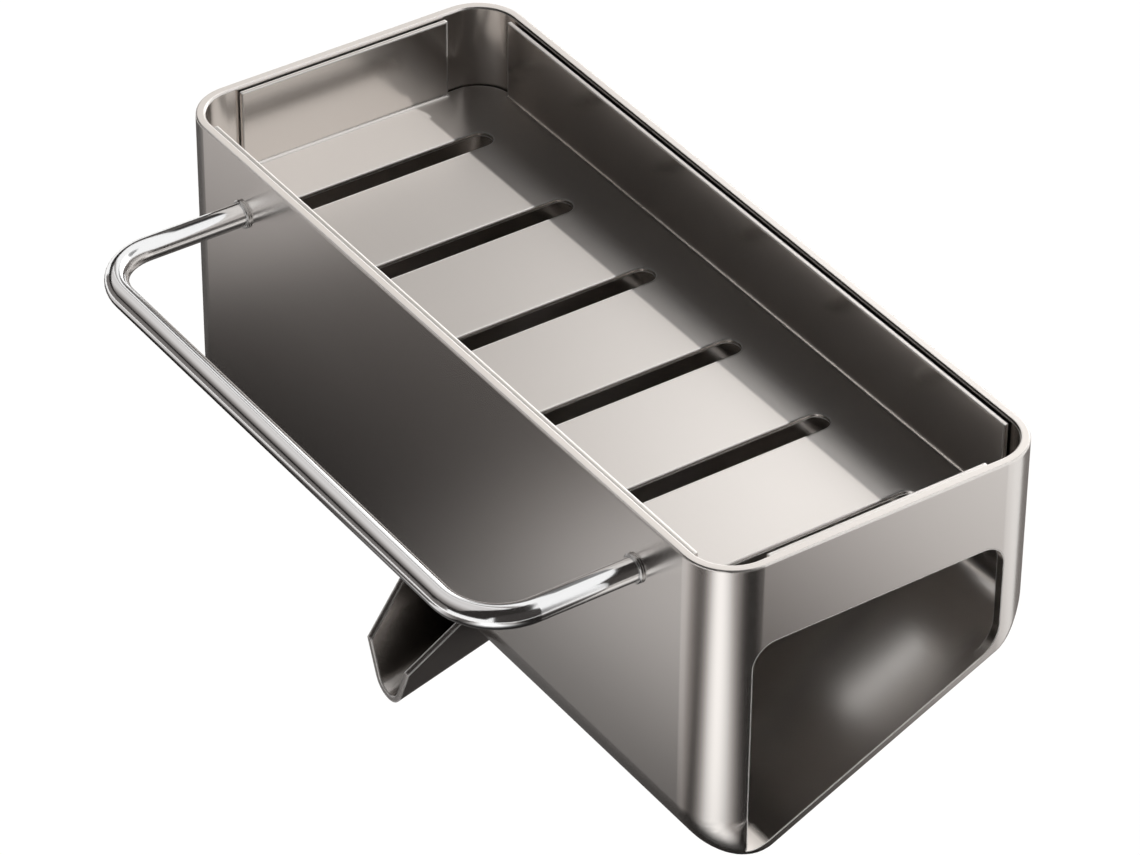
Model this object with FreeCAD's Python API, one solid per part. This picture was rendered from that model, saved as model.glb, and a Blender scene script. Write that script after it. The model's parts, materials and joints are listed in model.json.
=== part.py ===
"""Sponge holder in stainless steel, for the wall above a kitchen sink.

A drawn box with a sloping floor and an open window in its right end carries a slotted
tray that lifts out, a round cloth bar across the front and a folded spout under
the lowest part of the floor. Lengths are millimetres. The origin is the middle of
the flat back, X runs along the box, Y points into the wall behind it, Z is up.
"""
import math
import os

import FreeCAD
import Part

V = FreeCAD.Vector

# Box
length = 230.0
depth = 93.5
wall = 2.5
corner_radius = 13.0        # upright corners, floor to front and floor to back, outside
foot_radius = 1.0           # floor to ends, outside
back_height = 49.0          # rim down to where back and floor would meet unrounded
floor_slope = 24.7          # degrees, down towards the front
rim_round = 0.5             # outer edge of the rim
rim_bevel = 0.4             # inner edge of the rim

# Window in the right end
window_top = 22.8           # below the rim
window_front_margin = 10.8
window_back_margin = 12.5
window_radius = 6.0
window_foot_radius = 9.0

# Slotted tray
tray_sheet = 1.2
tray_clearance = 0.5        # to the walls of the box
tray_bend = 1.0             # inside radius of its folds
tray_depth = 23.2           # rim down to the top of its floor
tray_below_rim = 1.1
end_flange_setback = 3.5    # past the start of the round corner
slot_count = 6
slot_width = 6.5
slot_row_margin = 22.6      # end of the tray to the middle of the outer slot
slot_tip_margin = 14.4      # side of the tray to the tips of the slots

# Rails that the tray rests on
rail_leg = 8.0
rail_sheet = 1.2
rail_end_inset = 25.0

# Cloth bar with its collars and screws
bar_diameter = 6.0
bar_end_inset = 31.0        # end of the box to the middle of an arm
bar_reach = 42.0            # front wall to the middle of the bar
bar_bend = 15.0             # radius at the middle of the bar
bar_below_rim = 15.3
collar_overlap = 0.7        # that a collar stands out round the bar
collar_width = 0.9
collar_bevel = 0.3
screw_diameter = 3.0
screw_head_diameter = 5.6
screw_grip = 8.0            # depth in the bar
screw_clearance = 0.1       # shank to the hole in the wall
socket_flats = 2.0          # across the flats of the hex socket
socket_sides = 6
socket_depth = 0.8

# Spout and the drain hole above it
spout_sheet = 1.6
spout_reach = 13.0          # in front of the box
spout_root = 24.0           # behind the front of the box
spout_hang = 20.0           # below the lowest point of the box
spout_fall = 15.5           # degrees
spout_draft = 21.5          # degrees that each side leans out
spout_bend = 4.2            # inside radius along its bottom
spout_lip = 11.6            # height of its open end, inside
spout_rake = 44.0           # degrees that its top edges climb
drain_length = 12.0
drain_width = 7.0

# How far cuts run past what they cut, and what counts as equal
overrun = 20.0
same = 1e-4
quarter_turn = 90.0
full_turn = 360.0

slope = math.radians(floor_slope)
fall = math.radians(spout_fall)
draft = math.radians(spout_draft)
rake = math.radians(spout_rake)
diagonal = math.cos(math.pi / 4)

half_length = length / 2
front_y = -depth
back_flat = back_height - corner_radius * math.tan((math.pi / 2 - slope) / 2)
rim_z = back_flat / 2
low_y = front_y + corner_radius
tray_under_z = rim_z - tray_depth - tray_sheet
tray_gap = wall + tray_clearance


def floor_z(y, inset):
    """Height at y of a plane that lies inset above the underside of the floor."""
    return rim_z - back_height + y * math.tan(slope) + inset / math.cos(slope)


low_z = floor_z(low_y, corner_radius) - corner_radius


def flat(points):
    return Part.Face(Part.makePolygon(points + points[:1]))


def along_x(side, half):
    """A side outline of (y, z) points, pushed along X to both sides of the middle."""
    return flat([V(-half, y, z) for y, z in side]).extrude(V(2 * half, 0, 0))


def direction(edge):
    return (edge.lastVertex().Point - edge.firstVertex().Point).normalize()


def round_edges(solid, radius_of):
    """Round every straight edge by the radius that radius_of gives for it."""
    document = FreeCAD.newDocument()
    sharp = document.addObject("Part::Feature", "Sharp")
    sharp.Shape = solid
    rounded = document.addObject("Part::Fillet", "Rounded")
    rounded.Base = sharp
    radii = [radius_of(edge) for edge in solid.Edges]
    rounded.Edges = [(n, r, r) for n, r in enumerate(radii, start=1) if r > 0]
    document.recompute()
    shape = rounded.Shape.copy()
    FreeCAD.closeDocument(document.Name)
    return shape


def box_block(inset, half, top_z, bend, corner, foot):
    """The box as a full block, inset from its outside, with its edges rounded."""
    front, back = front_y + inset, -inset
    side = [(front, top_z), (front, floor_z(front, inset)), (back, floor_z(back, inset)), (back, top_z)]

    def radius_of(edge):
        if edge.BoundBox.ZMin > top_z - same:
            return 0
        way = direction(edge)
        if abs(way.x) > 1 - same:
            return bend
        return corner if abs(way.z) > 1 - same else foot

    return round_edges(along_x(side, half), radius_of)


def outer_block(top_z):
    return box_block(0, half_length, top_z, corner_radius, corner_radius, foot_radius)


def cavity():
    radius = corner_radius - wall
    return box_block(wall, half_length - wall, rim_z + overrun, radius, radius, 0)


def window():
    """The cut through the right end, down to the top of the floor and its front bend."""
    top = rim_z - window_top
    front, back = front_y + window_front_margin, -window_back_margin
    side = [(front, top), (front, floor_z(front, wall)), (back, floor_z(back, wall)), (back, top)]

    def radius_of(edge):
        if abs(direction(edge).x) < 1 - same:
            return 0
        point = edge.firstVertex().Point
        if point.z > top - same:
            return window_radius
        return window_foot_radius if point.y > back - same else 0

    opening = round_edges(along_x(side, overrun), radius_of)
    opening.translate(V(half_length, 0, 0))
    inside = box_block(wall, half_length + overrun, rim_z, corner_radius - wall, 0, 0)
    return opening.common(inside)


def obround(centre, run, across, height):
    """An upright plug with round ends, run long in X and across wide, standing on centre."""
    radius = across / 2
    straight = run / 2 - radius
    plug = Part.makeBox(2 * straight, across, height, centre - V(straight, radius, 0))
    for end in (-straight, straight):
        plug = plug.fuse(Part.makeCylinder(radius, height, centre + V(end, 0, 0)))
    return plug.removeSplitter()


def arm_places():
    """Where the two arms of the bar meet the front wall."""
    x = half_length - bar_end_inset
    return [V(side * x, front_y, rim_z - bar_below_rim) for side in (-1, 1)]


def turned_screw(place, gap, tip_y):
    """A countersunk screw along Y: its head flush inside the box, its shank wider by gap."""
    head, shank = screw_head_diameter / 2, screw_diameter / 2 + gap
    seat = front_y + wall
    neck = seat - (head - shank)
    profile = [(0, seat), (head, seat), (shank, neck), (shank, tip_y), (0, tip_y)]
    half_section = flat([V(place.x + radius, y, place.z) for radius, y in profile])
    return half_section.revolve(place, V(0, 1, 0), full_turn)


def rim_face(shell):
    return next(face for face in shell.Faces if face.BoundBox.ZMin > rim_z - same)


def finish_rim(shell):
    """Round the outer edge of the rim and bevel the inner one."""
    shell = shell.makeFillet(rim_round, rim_face(shell).OuterWire.Edges)
    rim = rim_face(shell)
    inner = next(wire for wire in rim.Wires if not wire.isSame(rim.OuterWire))
    return shell.makeChamfer(rim_bevel, inner.Edges)


def box_shell():
    shell = outer_block(rim_z).cut(cavity()).cut(window())
    for place in arm_places():
        shell = shell.cut(turned_screw(place, screw_clearance, front_y - overrun))
    drain = obround(V(0, low_y, low_z - overrun), drain_length, drain_width, 2 * overrun)
    shell = shell.cut(drain)
    return finish_rim(shell)


def flange(half_run, outer):
    """A folded-up side of the tray on +Y, with its bend, standing on z = 0."""
    turn = tray_bend + tray_sheet
    height = tray_depth + tray_sheet - tray_below_rim
    middle = V(-half_run, outer - turn, turn)

    def arc(radius):
        halfway = middle + V(0, radius * diagonal, -radius * diagonal)
        return Part.Arc(middle - V(0, 0, radius), halfway, middle + V(0, radius, 0)).toShape()

    under, over = arc(turn), arc(tray_bend)
    out, back = V(-half_run, outer, height), V(-half_run, outer - tray_sheet, height)
    sides = [Part.makeLine(under.lastVertex().Point, out), Part.makeLine(out, back),
             Part.makeLine(back, over.lastVertex().Point),
             Part.makeLine(over.firstVertex().Point, under.firstVertex().Point)]
    outline = Part.Wire(Part.__sortEdges__([under, over] + sides))
    return Part.Face(outline).extrude(V(2 * half_run, 0, 0))


def tray_floor(half_x, half_y):
    plate = Part.makeBox(2 * half_x, 2 * half_y, tray_sheet, V(-half_x, -half_y, 0))
    upright = [edge for edge in plate.Edges if abs(direction(edge).z) > 1 - same]
    return plate.makeFillet(corner_radius - tray_gap, upright)


def slots(half_x, half_y):
    """The row of slots along Y, as plugs through the floor of the tray."""
    run = 2 * (half_y - slot_tip_margin)
    row = half_x - slot_row_margin
    plugs = []
    for n in range(slot_count):
        plug = obround(V(0, 0, -overrun), run, slot_width, 2 * overrun)
        plug.rotate(V(0, 0, 0), V(0, 0, 1), quarter_turn)
        plug.translate(V(2 * row * n / (slot_count - 1) - row, 0, 0))
        plugs.append(plug)
    return plugs


def slotted_tray():
    half_x, half_y = half_length - tray_gap, depth / 2 - tray_gap
    long_run = half_length - corner_radius
    end_run = depth / 2 - corner_radius - end_flange_setback
    turn = tray_bend + tray_sheet
    tray = tray_floor(half_x, half_y)
    for quarters, run, outer in ((0, long_run, half_y), (1, end_run, half_x),
                                 (2, long_run, half_y), (3, end_run, half_x)):
        strip = Part.makeBox(2 * run, turn, tray_sheet, V(-run, outer - turn, 0))
        side = flange(run, outer)
        for piece in (strip, side):
            piece.rotate(V(0, 0, 0), V(0, 0, 1), quarters * quarter_turn)
        tray = tray.cut(strip).fuse(side)
    tray = tray.cut(slots(half_x, half_y)).removeSplitter()
    tray.translate(V(0, -depth / 2, tray_under_z))
    return tray


def tray_rail(wall_y, inward):
    """An angle strip on the inside of a wall, its top under the tray."""
    edge, root = wall_y + inward * rail_leg, wall_y + inward * rail_sheet
    top, shelf, foot = tray_under_z, tray_under_z - rail_sheet, tray_under_z - rail_leg
    side = [(wall_y, top), (edge, top), (edge, shelf), (root, shelf), (root, foot), (wall_y, foot)]
    return along_x(side, half_length - rail_end_inset)


def cloth_bar():
    left, right = arm_places()
    far_y = front_y - bar_reach
    nook = bar_bend * (1 - diagonal)
    path, run_ends = [], []
    for arm, inward in ((left, 1), (right, -1)):
        bend_start = V(arm.x, far_y + bar_bend, arm.z)
        bend_middle = V(arm.x + inward * nook, far_y + nook, arm.z)
        bend_end = V(arm.x + inward * bar_bend, far_y, arm.z)
        path += [Part.makeLine(arm, bend_start), Part.Arc(bend_start, bend_middle, bend_end).toShape()]
        run_ends.append(bend_end)
    path.append(Part.makeLine(*run_ends))
    section = Part.Face(Part.Wire(Part.makeCircle(bar_diameter / 2, left, V(0, 1, 0))))
    bar = Part.Wire(Part.__sortEdges__(path)).makePipe(section)
    return bar.cut([turned_screw(arm, 0, front_y - screw_grip) for arm in (left, right)])


def bar_collar(place):
    """A ring round an arm of the bar, flat against the front wall."""
    out = V(0, -1, 0)
    ring = Part.makeCylinder(bar_diameter / 2 + collar_overlap, collar_width, place, out)
    front = [edge for edge in ring.Edges if edge.BoundBox.YMax < place.y - collar_width + same]
    ring = ring.makeChamfer(collar_bevel, front)
    return ring.cut(Part.makeCylinder(bar_diameter / 2, collar_width, place, out))


def bar_screw(place):
    corner = socket_flats / 2 / math.cos(math.pi / socket_sides)
    turns = [2 * math.pi * n / socket_sides for n in range(socket_sides)]
    hexagon = flat([place + V(corner * math.cos(turn), wall, corner * math.sin(turn)) for turn in turns])
    socket = hexagon.extrude(V(0, -socket_depth, 0))
    return turned_screw(place, 0, front_y - screw_grip).cut(socket)


def gutter_section(radius, y, bottom_z):
    """A face across the gutter at y: a round bottom and two sides that lean out."""
    middle = V(0, y, bottom_z + spout_sheet + spout_bend)
    climb = length
    foot = V(radius * math.cos(draft), 0, -radius * math.sin(draft))
    top = foot + V(climb * math.sin(draft), 0, climb * math.cos(draft))
    far_foot, far_top = V(-foot.x, 0, foot.z), V(-top.x, 0, top.z)
    bottom = Part.Arc(middle + far_foot, middle - V(0, 0, radius), middle + foot).toShape()
    sides = Part.makePolygon([middle + point for point in (foot, top, far_top, far_foot)])
    return Part.Face(Part.Wire([bottom] + sides.Edges))


def drain_spout():
    tip_y, bottom_z = front_y - spout_reach, low_z - spout_hang
    run = spout_reach + spout_root
    along = V(0, 1, math.tan(fall))
    outside = gutter_section(spout_bend + spout_sheet, tip_y, bottom_z).extrude(along * run)
    ahead = along * overrun
    inside = gutter_section(spout_bend, tip_y - ahead.y, bottom_z - ahead.z)
    gutter = outside.cut(inside.extrude(ahead + along * (run - spout_sheet)))
    lip_z = bottom_z + spout_sheet + spout_lip
    top_z = lip_z + length * math.tan(rake)
    above = along_x([(tip_y - overrun, lip_z), (tip_y, lip_z), (tip_y + length, top_z),
                     (tip_y - overrun, top_z)], length)
    return gutter.cut([above, outer_block(rim_z + length)])


def build():
    left, right = arm_places()
    return {
        "box_shell": box_shell(),
        "slotted_tray": slotted_tray(),
        "tray_rail_front": tray_rail(front_y + wall, 1),
        "tray_rail_back": tray_rail(-wall, -1),
        "cloth_bar": cloth_bar(),
        "bar_collar_left": bar_collar(left),
        "bar_collar_right": bar_collar(right),
        "bar_screws": Part.makeCompound([bar_screw(left), bar_screw(right)]),
        "drain_spout": drain_spout(),
    }


def main():
    os.makedirs("parts", exist_ok=True)
    for name, shape in build().items():
        shape.exportStep(f"parts/{name}.step")
        state = "valid" if shape.isValid() else "not valid"
        print(name, len(shape.Solids), "solid(s)", round(shape.Volume, 1), "mm3", state)


main()
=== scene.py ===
"""Looks of the sponge holder: satin steel, a polished bar, studio light and the photograph's camera."""
import json
import math
from collections import namedtuple

import bpy
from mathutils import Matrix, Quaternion, Vector

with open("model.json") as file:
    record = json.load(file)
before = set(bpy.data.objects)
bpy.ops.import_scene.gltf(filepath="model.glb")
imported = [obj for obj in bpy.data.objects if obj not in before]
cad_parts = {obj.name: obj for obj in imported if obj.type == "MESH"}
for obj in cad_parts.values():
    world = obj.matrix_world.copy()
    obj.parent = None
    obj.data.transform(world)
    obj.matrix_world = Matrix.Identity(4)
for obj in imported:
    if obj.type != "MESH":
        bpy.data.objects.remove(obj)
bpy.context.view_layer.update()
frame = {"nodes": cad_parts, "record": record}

# Camera, from straight edges measured in the photograph (metres and degrees, part frame).
CAMERA_AT = Vector((0.869375, -0.649362, 0.758443))
CAMERA_AZIMUTH = 55.59
CAMERA_ELEVATION = 36.60
CAMERA_ROLL = 0.512
CAMERA_LENS = 172.638
SENSOR_WIDTH = 36.0
CLIP_START = 0.01
CLIP_END = 100.0

# Stage: a pale floor below the hanging object, white as the backdrop, which keeps a soft shadow.
FLOOR_Z = -0.60
FLOOR_SIZE = 14.0
FLOOR_SHADOW = 0.35
WHITE = (1.0, 1.0, 1.0, 1.0)
SKY_FILL = 0.04

# Key lamp: behind and above, at 45 degrees, so the back wall throws its edge on the tray.
KEY_FROM = Vector((0.12, 1.0, 1.0))
KEY_STRENGTH = 4.6
KEY_ANGLE = 1.2
KEY_COLOUR = (1.0, 0.975, 0.95)

# Studio cards that only reflections see: centre, turn in degrees, width and height, then the greys along the
# width (metres from the middle, grey) and the fade over the height (metres, share, metres, share). The
# comment over a card names where it shows or what it makes there.
Card = namedtuple("Card", "centre turn width height greys fade")
NO_FADE = (0.0, 1.0, 0.1, 1.0)
CARD_WARMTH = (0.0, 0.09, 0.13)     # how much less red, green and blue the darker greys have


def even(grey):
    """The greys of a card that is the same all over."""
    return ((0.0, grey),)


CARDS = {
    # The front wall.
    "card_front": Card((-0.20, -0.335, -0.25), (0, 0, 0), 0.90, 0.77, (
        (-0.22, 0.60), (-0.185, 0.60), (-0.172, 0.12), (-0.045, 0.07), (-0.015, 0.35), (0.01, 0.82),
        (0.08, 0.72), (0.17, 0.30), (0.25, 0.12), (0.40, 0.12)), (0.090, 0.16, 0.050, 1.0)),
    # The light strip on the front right corner.
    "card_strip": Card((0.290, -0.320, -0.245), (0, 0, 38), 0.42, 0.50, (
        (-0.19, 0.10), (-0.13, 0.50), (-0.075, 1.10), (-0.02, 1.40), (0.03, 1.35), (0.09, 1.0),
        (0.145, 0.5), (0.20, 0.10)), (0.20, 0.05, 0.05, 1.0)),
    # The end with the window.
    "card_right": Card((0.43, 0.10, -0.26), (0, 0, 90), 0.90, 0.62, (
        (-0.33, 0.60), (-0.26, 0.15), (-0.21, 0.03), (-0.08, 0.02), (-0.04, 0.03), (0.02, 0.15),
        (0.09, 0.70), (0.20, 1.0)), NO_FADE),
    # The level faces.
    "card_back": Card((-0.40, 0.23, 0.36), (53.4, 0, -124), 1.00, 0.70, (
        (-0.45, 2.80), (-0.09, 2.80), (0.02, 0.12), (0.45, 0.05)), (0.14, 0.10, 0.05, 1.0)),
    # The lines along the bar.
    "card_bar": Card((-0.03, -0.145, 0.038), (0, 0, 90), 0.09, 0.22, (
        (-0.045, 0.15), (-0.033, 0.17), (-0.020, 0.30), (-0.010, 0.50), (0.003, 0.72), (0.019, 0.66),
        (0.022, 0.90), (0.0245, 0.90), (0.0265, 0.30), (0.030, 0.30), (0.033, 1.0), (0.045, 1.0)), NO_FADE),
    # The soft streak on the floor inside the window.
    "card_inner": Card((0.0745, -0.041, -0.008), (0, 0, -18), 0.010, 0.026, (
        (-0.005, 0.0), (0.0, 1.10), (0.005, 0.0)), NO_FADE),
    # Dark cards that hide the white backdrop from other reflections.
    "card_high": Card((-0.36, -0.22, 0.30), (53.4, 0, -55.6), 0.80, 0.50, even(0.02), NO_FADE),
    "card_top": Card((0.0, -0.265, 0.60), (180, 0, 0), 1.40, 0.77, even(0.03), NO_FADE),
    "card_fore": Card((0.10, -0.60, 0.42), (55, 0, 10), 1.00, 0.80, even(0.03), NO_FADE),
    "card_under": Card((-0.25, 0.30, -0.255), (0, 0, 0), 0.80, 0.50, even(0.20), NO_FADE),
    "card_low": Card((-0.40, -0.50, 0.04), (90, 0, -41), 0.90, 0.30, even(0.18), NO_FADE),
    "card_side": Card((0.62, -0.20, 0.30), (90, 0, 90), 0.70, 0.96, even(0.05), NO_FADE),
}

# Finish of each slot: colour, roughness of upright faces and of lying ones, spread of the roughness and
# radius of the pale edges, partly wear and partly painted highlight. Then what most slots share: metallic of
# level faces, grain lines per metre and their relief, metallic of the pale edges, and the reach of the
# painted shade in hollows, 0 for none.
OWN_VALUES = ("colour", "rough", "lying_rough", "spread", "edge")
SHARED_VALUES = {"level_metal": 1.0, "grain": 3000.0, "relief": 0.002, "edge_metal": 0.0, "hollow": 0.0}
Finish = namedtuple("Finish", (*OWN_VALUES, *SHARED_VALUES), defaults=SHARED_VALUES.values())
STEEL = {
    "box_steel": Finish((0.74, 0.705, 0.675), 0.22, 0.24, 0.012, 0.0005, level_metal=0.06),
    "tray_steel": Finish((0.74, 0.705, 0.675), 0.22, 0.34, 0.03, 0.0008, level_metal=0.58),
    "rail_steel": Finish((0.40, 0.385, 0.37), 0.30, 0.30, 0.03, 0.0005),
    "screw_steel": Finish((0.55, 0.55, 0.55), 0.30, 0.30, 0.03, 0.0003, grain=5000.0),
    # The spout's hollow value darkens its trough with painted shade.
    "spout_steel": Finish((0.86, 0.82, 0.79), 0.22, 0.22, 0.02, 0.0008, edge_metal=0.6, hollow=0.016),
    "bar_steel": Finish((0.90, 0.90, 0.90), 0.12, 0.12, 0.02, 0.0003, grain=1200.0, relief=0.0),
    "collar_steel": Finish((0.50, 0.49, 0.48), 0.22, 0.22, 0.02, 0.0002, grain=1200.0, relief=0.0),
}
# Pale colour of the edges: partly wear, partly painted highlight lines along them.
WEAR_AND_HIGHLIGHT_COLOUR = (0.95, 0.93, 0.91, 1.0)
# Colour of the painted shade in hollows, where little open space surrounds a point.
PAINTED_SHADE_COLOUR = (0.14, 0.13, 0.12, 1.0)
GRAIN_TONE = 0.012              # share by which grain lines are darker or paler
GRAIN_RUN = 8.0                 # scale of the grain along its lines
RELIEF_DEPTH = 0.0002
LINE_NOISE = {"Scale": 1.0, "Detail": 3.0, "Roughness": 0.65}
CLOUD_NOISE = {"Scale": 14.0, "Detail": 2.0}
NOISE_SUM = (0.6, 1.4)          # range of lines and clouds added, which the spread is laid over
EDGE_SAMPLES = 6
PAINTED_SHADE_SAMPLES = 8

# Ranges over which a face turns from one kind into another.
LYING = (0.70, 0.85)            # upright part of the normal
LEVEL = (0.93, 0.97)            # upright part of the normal
WEAR_AND_HIGHLIGHT_TURN = (0.998, 0.95)            # cosine between the face and its rounded edge
# Open space over which the painted shade in hollows fades out.
UNSHADED_RANGE = (0.62, 0.96)            # share of open space round a point

# Two inputs and the output of the Mix node for each kind of value.
MIX_SOCKETS = {"FLOAT": (2, 3, 0), "VECTOR": (4, 5, 1), "RGBA": (6, 7, 2)}


def direction(azimuth, elevation):
    """Unit vector at an azimuth from the front, towards +X, and an elevation, in degrees."""
    a, e = math.radians(azimuth), math.radians(elevation)
    return Vector((math.sin(a) * math.cos(e), -math.cos(a) * math.cos(e), math.sin(e)))


def add(tree, kind, inputs=None, **settings):
    """Adds a node with these settings, and feeds its inputs with values or with outputs of other nodes."""
    node = tree.nodes.new(kind)
    for key, value in settings.items():
        setattr(node, key, value)
    for key, value in (inputs or {}).items():
        if isinstance(value, bpy.types.NodeSocket):
            tree.links.new(value, node.inputs[key])
        else:
            node.inputs[key].default_value = value
    return node


def blank_tree(block):
    """The empty node tree of a material or world."""
    block.use_nodes = True
    block.node_tree.nodes.clear()
    return block.node_tree


def link_new(name, data):
    """A new object in the scene."""
    thing = bpy.data.objects.new(name, data)
    bpy.context.scene.collection.objects.link(thing)
    return thing


def calc(tree, operation, *values):
    """The result of a Math node."""
    return add(tree, "ShaderNodeMath", dict(enumerate(values)), operation=operation).outputs[0]


def map_range(tree, value, low, high, to_low, to_high):
    """Carries a value from one range over to another, and holds it at the ends."""
    ends = {"From Min": low, "From Max": high, "To Min": to_low, "To Max": to_high}
    return add(tree, "ShaderNodeMapRange", {"Value": value, **ends}).outputs["Result"]


def mix(tree, kind, share, first, second):
    """Goes from the first number, vector or colour to the second."""
    a, b, out = MIX_SOCKETS[kind]
    return add(tree, "ShaderNodeMix", {0: share, a: first, b: second}, data_type=kind).outputs[out]


def object_place(tree):
    """Place on the object in its own coordinates."""
    return add(tree, "ShaderNodeTexCoord").outputs["Object"]


def face_normal(tree):
    """Normal of the face that is seen."""
    return add(tree, "ShaderNodeNewGeometry").outputs["Normal"]


def level_share(tree, low, high):
    """1 on faces whose normal has more than high of its length upright, 0 below low."""
    height = add(tree, "ShaderNodeSeparateXYZ", {0: face_normal(tree)}).outputs["Z"]
    return map_range(tree, calc(tree, "ABSOLUTE", height), low, high, 0.0, 1.0)


def grain_lines(tree, grain, lying):
    """Fine lines along the sheet: level on upright walls and along X on lying faces."""
    place = object_place(tree)
    upright = add(tree, "ShaderNodeMapping", {"Vector": place, "Scale": (GRAIN_RUN, GRAIN_RUN, grain)})
    flat = add(tree, "ShaderNodeMapping", {"Vector": place, "Scale": (GRAIN_RUN, grain, GRAIN_RUN)})
    along = mix(tree, "VECTOR", lying, upright.outputs[0], flat.outputs[0])
    return add(tree, "ShaderNodeTexNoise", {"Vector": along, **LINE_NOISE}).outputs[0]


def wear_and_highlight_share(tree, rounded):
    """1 at edges, where the rounded normal turns away from the face."""
    normals = {0: rounded, 1: face_normal(tree)}
    turned = add(tree, "ShaderNodeVectorMath", normals, operation="DOT_PRODUCT")
    return map_range(tree, turned.outputs["Value"], *WEAR_AND_HIGHLIGHT_TURN, 0.0, 1.0)


def steel_colour(tree, finish, lines, wear_and_highlight):
    """The steel's colour: its grain, pale edges (wear and painted highlight) and painted shade in hollows.
    """
    dark = (*[c * (1 - GRAIN_TONE) for c in finish.colour], 1.0)
    pale = (*[min(1.0, c * (1 + GRAIN_TONE)) for c in finish.colour], 1.0)
    # Edges turn pale: partly wear, partly painted highlight.
    colour = mix(tree, "RGBA", wear_and_highlight, mix(tree, "RGBA", lines, dark, pale), WEAR_AND_HIGHLIGHT_COLOUR)
    if not finish.hollow:
        return colour
    # Painted shade: the colour darkens where ambient occlusion finds little open space round a point.
    space = add(tree, "ShaderNodeAmbientOcclusion", {"Distance": finish.hollow}, samples=PAINTED_SHADE_SAMPLES)
    unshaded_share = map_range(tree, space.outputs["AO"], *UNSHADED_RANGE, 0.0, 1.0)
    return mix(tree, "RGBA", unshaded_share, PAINTED_SHADE_COLOUR, colour)


def steel_roughness(tree, finish, lines, lying):
    """Roughness that varies with the grain and in faint broad clouds."""
    clouds = add(tree, "ShaderNodeTexNoise", {"Vector": object_place(tree), **CLOUD_NOISE}).outputs[0]
    uneven = map_range(tree, calc(tree, "ADD", lines, clouds), *NOISE_SUM, -finish.spread, finish.spread)
    base = map_range(tree, lying, 0.0, 1.0, finish.rough, finish.lying_rough)
    return calc(tree, "ADD", base, uneven)


def steel(name, finish):
    """Satin steel: fine lines along the sheet in its colour, roughness and relief, and pale edges, partly
    wear and partly painted highlight.
    """
    material = bpy.data.materials.new(name)
    tree = blank_tree(material)
    lying = level_share(tree, *LYING)
    lines = grain_lines(tree, finish.grain, lying)
    rounded = add(tree, "ShaderNodeBevel", {"Radius": finish.edge}, samples=EDGE_SAMPLES).outputs[0]
    # Share of the pale edges, partly wear and partly painted highlight.
    wear_and_highlight = wear_and_highlight_share(tree, rounded)
    metal = map_range(tree, level_share(tree, *LEVEL), 0.0, 1.0, 1.0, finish.level_metal)
    relief = {"Height": lines, "Normal": rounded, "Strength": finish.relief, "Distance": RELIEF_DEPTH}
    shader = add(tree, "ShaderNodeBsdfPrincipled", {
        "Base Color": steel_colour(tree, finish, lines, wear_and_highlight),
        "Metallic": mix(tree, "FLOAT", wear_and_highlight, metal, finish.edge_metal),
        "Roughness": steel_roughness(tree, finish, lines, lying),
        "Normal": add(tree, "ShaderNodeBump", relief).outputs[0],
    })
    add(tree, "ShaderNodeOutputMaterial", {"Surface": shader.outputs[0]})
    return material


def seen_ray(tree):
    """1 for rays that see the backdrop: from the camera, by a reflection or through glass."""
    path = add(tree, "ShaderNodeLightPath")
    seen = path.outputs["Is Camera Ray"]
    for other in ("Is Glossy Ray", "Is Transmission Ray"):
        seen = calc(tree, "MAXIMUM", seen, path.outputs[other])
    return seen


def make_world():
    """White where it is seen, a soft fill where it lights."""
    world = bpy.data.worlds.new("studio")
    bpy.context.scene.world = world
    tree = blank_tree(world)
    strength = map_range(tree, seen_ray(tree), 0.0, 1.0, SKY_FILL, 1.0)
    back = add(tree, "ShaderNodeBackground", {"Strength": strength, "Color": WHITE})
    add(tree, "ShaderNodeOutputWorld", {"Surface": back.outputs[0]})


def square(name, width, height):
    """A flat card in its own XY plane."""
    x, y = width / 2, height / 2
    mesh = bpy.data.meshes.new(name)
    mesh.from_pydata([(-x, -y, 0), (x, -y, 0), (x, y, 0), (-x, y, 0)], [], [(0, 1, 2, 3)])
    return link_new(name, mesh)


def make_floor():
    """A pale floor, white as the backdrop, that keeps part of the object's shadow."""
    floor = square("floor", FLOOR_SIZE, FLOOR_SIZE)
    floor.location = (0, 0, FLOOR_Z)
    material = bpy.data.materials.new("floor_white")
    tree = blank_tree(material)
    matt = add(tree, "ShaderNodeBsdfDiffuse", {"Color": WHITE})
    glow = add(tree, "ShaderNodeEmission", {"Color": WHITE, "Strength": 1.0})
    share = map_range(tree, seen_ray(tree), 0.0, 1.0, 0.0, 1.0 - FLOOR_SHADOW)
    both = add(tree, "ShaderNodeMixShader", {0: share, 1: matt.outputs[0], 2: glow.outputs[0]})
    add(tree, "ShaderNodeOutputMaterial", {"Surface": both.outputs[0]})
    floor.data.materials.append(material)


def grey_ramp(tree, along, width, greys):
    """Colour along a card of this width, from its greys."""
    ramp = add(tree, "ShaderNodeValToRGB", {"Fac": along})
    stops = ramp.color_ramp.elements
    while len(stops) > 1:
        stops.remove(stops[0])
    for index, (metres, grey) in enumerate(greys):
        position = metres / width + 0.5
        stop = stops.new(position) if index else stops[0]
        stop.position = position
        stop.color = (*[grey * (1 - fall * max(0.0, 1 - grey)) for fall in CARD_WARMTH], 1.0)
    return ramp.outputs[0]


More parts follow.
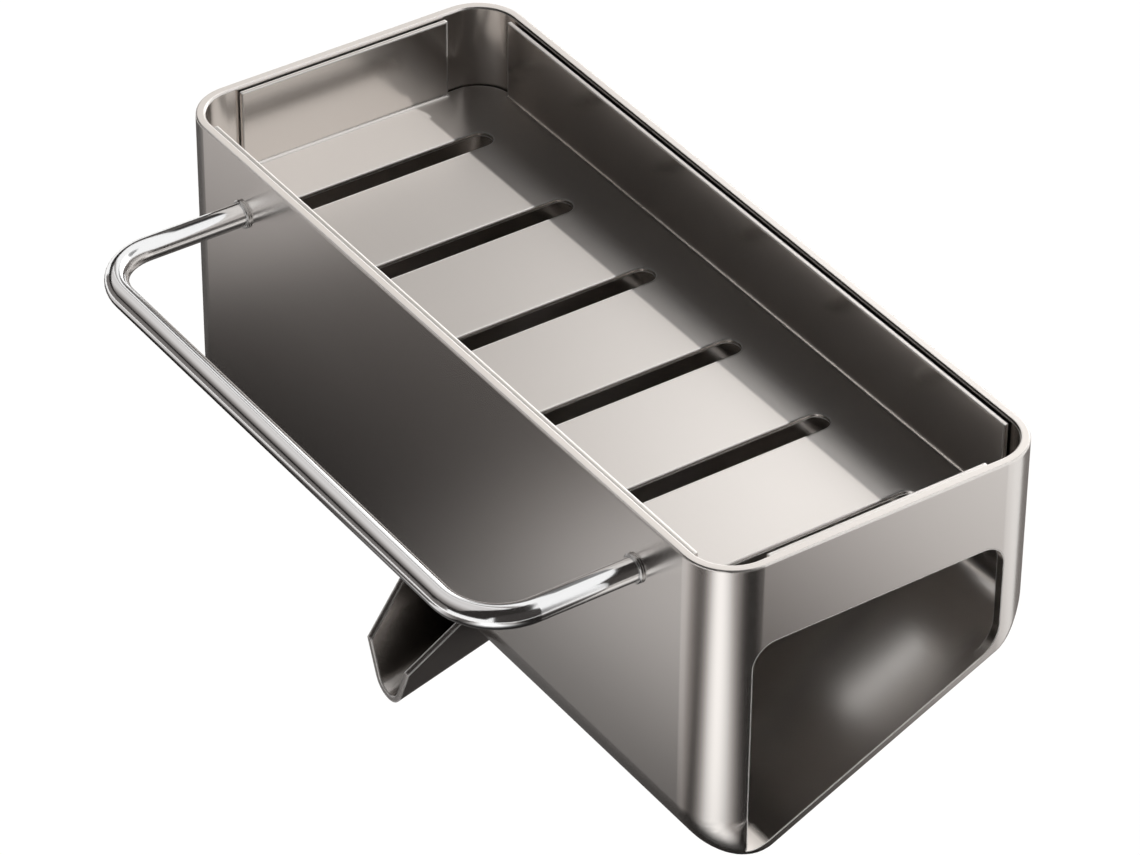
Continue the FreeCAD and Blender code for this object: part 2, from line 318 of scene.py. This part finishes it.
def card_material(name, plan):
    """Glows in greys along the width of the card and fades over its height."""
    material = bpy.data.materials.new(name)
    tree = blank_tree(material)
    place = add(tree, "ShaderNodeSeparateXYZ", {0: object_place(tree)})
    along = map_range(tree, place.outputs["X"], -plan.width / 2, plan.width / 2, 0.0, 1.0)
    share = map_range(tree, place.outputs["Y"], *plan.fade[0::2], *plan.fade[1::2])
    colour = grey_ramp(tree, along, plan.width, plan.greys)
    glow = add(tree, "ShaderNodeEmission", {"Color": colour, "Strength": share})
    add(tree, "ShaderNodeOutputMaterial", {"Surface": glow.outputs[0]})
    return material


def make_cards():
    """Cards round the object that only reflections see."""
    for name, plan in CARDS.items():
        card = square(name, plan.width, plan.height)
        card.location = plan.centre
        card.rotation_euler = [math.radians(t) for t in plan.turn]
        card.visible_camera = card.visible_diffuse = card.visible_shadow = False
        card.data.materials.append(card_material(name, plan))


def make_key():
    """The key lamp, a small far sun. It isn't mirrored, because its glare whitens the tray from behind."""
    sun = bpy.data.lights.new("key", "SUN")
    sun.energy, sun.angle, sun.color = KEY_STRENGTH, math.radians(KEY_ANGLE), KEY_COLOUR
    lamp = link_new("key", sun)
    lamp.rotation_euler = KEY_FROM.to_track_quat("Z", "Y").to_euler()
    lamp.visible_glossy = False


def make_camera():
    """The photograph's view."""
    data = bpy.data.cameras.new("camera")
    data.sensor_fit, data.sensor_width, data.lens = "HORIZONTAL", SENSOR_WIDTH, CAMERA_LENS
    data.clip_start, data.clip_end = CLIP_START, CLIP_END
    camera = link_new("camera", data)
    look = direction(CAMERA_AZIMUTH, CAMERA_ELEVATION).to_track_quat("Z", "Y")
    camera.rotation_mode = "QUATERNION"
    camera.rotation_quaternion = look @ Quaternion((0, 0, 1), math.radians(CAMERA_ROLL))
    camera.location = CAMERA_AT
    bpy.context.scene.camera = camera


def dress():
    """Gives every node the steel of its slot."""
    looks = {slot: steel(slot, finish) for slot, finish in STEEL.items()}
    for part in frame["record"]["subparts"]:
        node = frame["nodes"][part["node"]]
        node.data.materials.clear()
        node.data.materials.append(looks[part["material_slot"]])


dress()
make_world()
make_floor()
make_cards()
make_key()
make_camera()
bpy.context.scene.view_settings.view_transform = "Standard"
